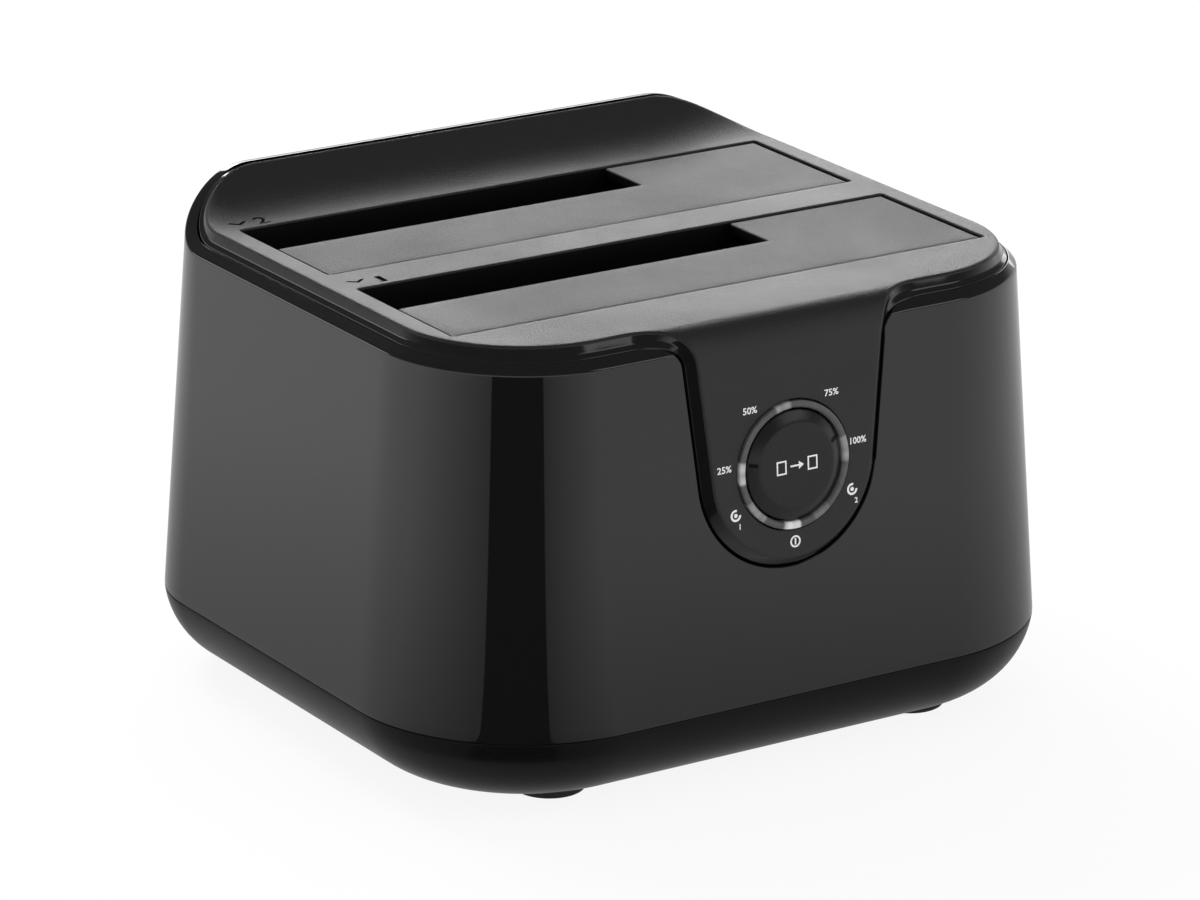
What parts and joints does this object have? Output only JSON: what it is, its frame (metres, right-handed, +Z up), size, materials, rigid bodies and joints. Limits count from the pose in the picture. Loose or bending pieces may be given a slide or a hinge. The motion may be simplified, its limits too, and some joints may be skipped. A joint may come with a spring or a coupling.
{
  "type": "hard drive docking station",
  "caption": "Black docking station that takes hard drives standing on end behind spring flaps, with a lit clone key on a tongue at the front.",
  "frame": {"origin": "middle of the box round the part, on the table under the feet", "axes": "+X to the right seen from the front, -Y out of the front, +Z up"},
  "size_m": [0.127, 0.1133, 0.0841],
  "materials": {
    "shell_gloss": "high-gloss black moulding",
    "cover_matte": "fine spark texture, black",
    "flap_matte": "fine spark texture, black",
    "pan_satin": "satin black moulding",
    "inner_black": "plain black moulding",
    "key_satin": "satin black key",
    "ring_clear": "clear light guide",
    "rubber": "black rubber",
    "steel": "bright steel",
    "board": "green circuit board",
    "lamp": "small lamps",
    "moulding": "black connector moulding",
    "contact": "gold-plated contacts",
    "port_metal": "plated port metal",
    "port_blue": "blue port insert",
    "can": "capacitor cans",
    "lead": "grey ribbon lead",
    "plug": "cream plugs"
  },
  "bodies": {
    "dock": {"base_pan": "pan_satin", "feet": "rubber", "outer_shell": "shell_gloss", "top_cover": "cover_matte", "drive_frame": "inner_black", "hinge_pins": "steel", "light_ring": "ring_clear", "button_board": "board", "ring_leds": "lamp", "key_switch": "moulding", "main_board": "board", "front_socket": "moulding", "rear_socket": "moulding", "socket_contacts": "contact", "usb_shell": "port_metal", "usb_core": "port_blue", "dc_jack": "moulding", "jack_pin": "port_metal", "power_switch": "moulding", "board_chips": "moulding", "board_capacitors": "can", "board_coils": "moulding", "ribbon": "lead", "ribbon_plugs": "plug", "base_screws": "steel", "frame_screws": "steel", "board_screws": "steel", "button_board_screws": "steel"},
    "front_flap_body": {"front_flap": "flap_matte", "front_flap_spring": "steel"},
    "rear_flap_body": {"rear_flap": "flap_matte", "rear_flap_spring": "steel"},
    "clone_key": {"clone_button": "key_satin", "key_plunger": "moulding"},
    "power_key": {"power_button": "key_satin"}
  },
  "joints": [
    {"name": "front_flap_hinge", "type": "hinge", "parent": "dock", "child": "front_flap_body", "pos_m": [0, -0.0335, 0.0765], "axis": [-1, 0, 0], "range_deg": [0, 90], "stiffness_Nm_per_rad": 0.004, "springref_deg": -34.38, "deforming": ["front_flap_spring"]},
    {"name": "rear_flap_hinge", "type": "hinge", "parent": "dock", "child": "rear_flap_body", "pos_m": [0, 0.005, 0.0765], "axis": [-1, 0, 0], "range_deg": [0, 90], "stiffness_Nm_per_rad": 0.004, "springref_deg": -34.38, "deforming": ["rear_flap_spring"]},
    {"name": "clone_key_press", "type": "slide", "parent": "dock", "child": "clone_key", "axis": [0, 0.9974, -0.0715], "range_m": [0, 0.0005], "stiffness_N_per_m": 1500, "springref_m": -0.001},
    {"name": "power_key_press", "type": "slide", "parent": "dock", "child": "power_key", "axis": [0, -1, 0], "range_m": [0, 0.002], "stiffness_N_per_m": 700, "springref_m": -0.002}
  ]
}
